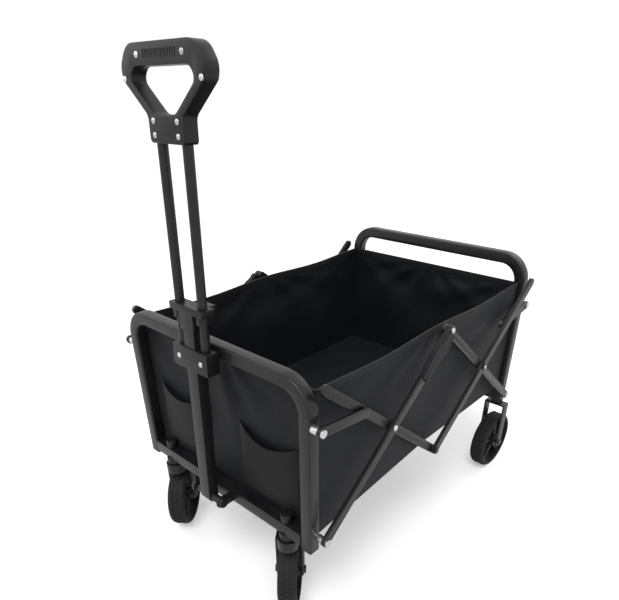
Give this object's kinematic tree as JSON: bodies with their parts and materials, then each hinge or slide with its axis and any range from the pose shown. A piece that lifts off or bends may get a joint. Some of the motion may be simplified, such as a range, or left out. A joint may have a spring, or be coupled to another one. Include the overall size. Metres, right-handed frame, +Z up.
{
  "type": "folding transport cart",
  "caption": "Folding hand cart: steel end frames, side scissor struts, open fabric tub, swivel front casters, fixed rear wheels and a telescopic pull handle.",
  "frame": {"origin": "on the floor under the middle of the whole cart's box", "axes": "+Z up, +Y towards the fixed rear wheels, -Y towards the pull handle, X across"},
  "size_m": [0.5476, 0.85, 0.958],
  "materials": {
    "painted_tube": "satin black powder coat",
    "black_steel": "satin black paint",
    "rivets": "plain zinc",
    "moulded_plastic": "satin moulded",
    "wheel_plastic": "moulded",
    "tyre": "ribbed tread",
    "fabric": "woven polyester"
  },
  "bodies": {
    "front_frame": {"front_frame_tube": "painted_tube", "front_lower_rail": "painted_tube", "front_pivot_pins": "rivets", "front_caster_socket_right": "moulded_plastic", "front_caster_socket_left": "moulded_plastic", "handle_bracket": "painted_tube", "front_panel": "fabric", "front_side_panel_right": "fabric", "front_side_panel_left": "fabric", "front_floor_board": "fabric"},
    "rear_frame": {"rear_frame_tube": "painted_tube", "rear_lower_rail": "painted_tube", "rear_pivot_pins": "rivets", "rear_fork_right": "black_steel", "rear_fork_left": "black_steel", "rear_panel": "fabric", "rear_side_panel_right": "fabric", "rear_side_panel_left": "fabric", "rear_floor_board": "fabric"},
    "lower_handle": {"handle_lower_tube": "painted_tube", "handle_top_bracket": "moulded_plastic"},
    "upper_handle": {"handle_stay_tubes": "painted_tube", "handle_clamp": "moulded_plastic", "handle_grip": "moulded_plastic"},
    "front_long_right": {"front_long_strut_right": "painted_tube"},
    "rear_long_right": {"rear_long_strut_right": "painted_tube"},
    "front_short_right": {"front_short_strut_right": "painted_tube", "mid_cross_rail": "painted_tube"},
    "rear_short_right": {"rear_short_strut_right": "painted_tube"},
    "front_long_left": {"front_long_strut_left": "painted_tube"},
    "rear_long_left": {"rear_long_strut_left": "painted_tube"},
    "front_short_left": {"front_short_strut_left": "painted_tube"},
    "rear_short_left": {"rear_short_strut_left": "painted_tube"},
    "front_link_right": {"front_post_link_right": "painted_tube"},
    "rear_link_right": {"rear_post_link_right": "painted_tube"},
    "front_link_left": {"front_post_link_left": "painted_tube"},
    "rear_link_left": {"rear_post_link_left": "painted_tube"},
    "front_caster_right": {"front_caster_fork_right": "black_steel"},
    "front_road_wheel_right": {"front_tyre_right": "tyre", "front_wheel_right": "wheel_plastic"},
    "rear_road_wheel_right": {"rear_tyre_right": "tyre", "rear_wheel_right": "wheel_plastic"},
    "front_caster_left": {"front_caster_fork_left": "black_steel"},
    "front_road_wheel_left": {"front_tyre_left": "tyre", "front_wheel_left": "wheel_plastic"},
    "rear_road_wheel_left": {"rear_tyre_left": "tyre", "rear_wheel_left": "wheel_plastic"}
  },
  "joints": [
    {"name": "fold", "type": "hinge", "parent": "front_frame", "child": "front_long_right", "pos_m": [0.262, -0.3645, 0.222], "axis": [1, 0, 0], "range_deg": [0, 39.8], "deforming": ["front_side_panel_right", "front_side_panel_left", "front_floor_board", "rear_side_panel_right", "rear_side_panel_left", "rear_floor_board"]},
    {"name": "mid_top_right", "type": "hinge", "parent": "front_long_right", "child": "rear_long_right", "pos_m": [0.262, -0.0105, 0.51071], "axis": [1, 0, 0], "range_deg": [-80.6, 1]},
    {"name": "front_cross_right", "type": "hinge", "parent": "front_long_right", "child": "front_short_right", "pos_m": [0.262, -0.17851, 0.37369], "axis": [1, 0, 0], "range_deg": [-80.6, 1]},
    {"name": "rear_cross_right", "type": "hinge", "parent": "rear_long_right", "child": "rear_short_right", "pos_m": [0.262, 0.15751, 0.37369], "axis": [1, 0, 0], "range_deg": [-1, 80.6]},
    {"name": "rear_foot_right", "type": "hinge", "parent": "rear_long_right", "child": "rear_frame", "pos_m": [0.262, 0.3435, 0.222], "axis": [1, 0, 0], "range_deg": [-1, 40.8]},
    {"name": "front_strut_left", "type": "hinge", "parent": "front_frame", "child": "front_long_left", "pos_m": [-0.262, -0.3645, 0.222], "axis": [1, 0, 0], "range_deg": [-1, 40.8]},
    {"name": "mid_top_left", "type": "hinge", "parent": "front_long_left", "child": "rear_long_left", "pos_m": [-0.262, -0.0105, 0.51071], "axis": [1, 0, 0], "range_deg": [-80.6, 1]},
    {"name": "front_cross_left", "type": "hinge", "parent": "front_long_left", "child": "front_short_left", "pos_m": [-0.262, -0.17851, 0.37369], "axis": [1, 0, 0], "range_deg": [-80.6, 1]},
    {"name": "rear_cross_left", "type": "hinge", "parent": "rear_long_left", "child": "rear_short_left", "pos_m": [-0.262, 0.15751, 0.37369], "axis": [1, 0, 0], "range_deg": [-1, 80.6]},
    {"name": "front_link_hinge_right", "type": "hinge", "parent": "front_frame", "child": "front_link_right", "pos_m": [0.257, -0.37743, 0.45777], "axis": [1, 0, 0], "range_deg": [-1, 79.01]},
    {"name": "rear_link_hinge_right", "type": "hinge", "parent": "rear_frame", "child": "rear_link_right", "pos_m": [0.257, 0.35643, 0.45777], "axis": [1, 0, 0], "range_deg": [-79.01, 1]},
    {"name": "front_link_hinge_left", "type": "hinge", "parent": "front_frame", "child": "front_link_left", "pos_m": [-0.257, -0.37743, 0.45777], "axis": [1, 0, 0], "range_deg": [-1, 79.01]},
    {"name": "rear_link_hinge_left", "type": "hinge", "parent": "rear_frame", "child": "rear_link_left", "pos_m": [-0.257, 0.35643, 0.45777], "axis": [1, 0, 0], "range_deg": [-79.01, 1]},
    {"name": "caster_swivel_right", "type": "hinge", "parent": "front_frame", "child": "front_caster_right", "pos_m": [0.18, -0.373, 0.18], "axis": [0, 0, 1], "continuous": true},
    {"name": "front_wheel_spin_right", "type": "hinge", "parent": "front_caster_right", "child": "front_road_wheel_right", "pos_m": [0.16461, -0.3533, 0.073], "axis": [0.788, 0.6157, 0], "continuous": true},
    {"name": "rear_wheel_spin_right", "type": "hinge", "parent": "rear_frame", "child": "rear_road_wheel_right", "pos_m": [0.2375, 0.352, 0.073], "axis": [1, 0, 0], "continuous": true},
    {"name": "caster_swivel_left", "type": "hinge", "parent": "front_frame", "child": "front_caster_left", "pos_m": [-0.18, -0.373, 0.18], "axis": [0, 0, 1], "continuous": true},
    {"name": "front_wheel_spin_left", "type": "hinge", "parent": "front_caster_left", "child": "front_road_wheel_left", "pos_m": [-0.19539, -0.3533, 0.073], "axis": [0.788, 0.6157, 0], "continuous": true},
    {"name": "rear_wheel_spin_left", "type": "hinge", "parent": "rear_frame", "child": "rear_road_wheel_left", "pos_m": [-0.2375, 0.352, 0.073], "axis": [1, 0, 0], "continuous": true},
    {"name": "handle_pivot", "type": "hinge", "parent": "front_frame", "child": "lower_handle", "pos_m": [0, -0.4125, 0.213], "axis": [1, 0, 0], "range_deg": [0, 90]},
    {"name": "handle_slide", "type": "slide", "parent": "lower_handle", "child": "upper_handle", "axis": [0, 0.0349, 0.9994], "range_m": [-0.22, 0]}
  ],
  "couplings": [
    {"joint": "mid_top_right", "follows": "fold", "ratio": -2},
    {"joint": "front_cross_right", "follows": "fold", "ratio": -2},
    {"joint": "rear_cross_right", "follows": "fold", "ratio": 2},
    {"joint": "rear_foot_right", "follows": "fold", "ratio": 1},
    {"joint": "front_strut_left", "follows": "fold", "ratio": 1},
    {"joint": "mid_top_left", "follows": "fold", "ratio": -2},
    {"joint": "front_cross_left", "follows": "fold", "ratio": -2},
    {"joint": "rear_cross_left", "follows": "fold", "ratio": 2},
    {"joint": "front_link_hinge_right", "follows": "fold", "ratio": 1.96},
    {"joint": "rear_link_hinge_right", "follows": "fold", "ratio": -1.96},
    {"joint": "front_link_hinge_left", "follows": "fold", "ratio": 1.96},
    {"joint": "rear_link_hinge_left", "follows": "fold", "ratio": -1.96}
  ]
}
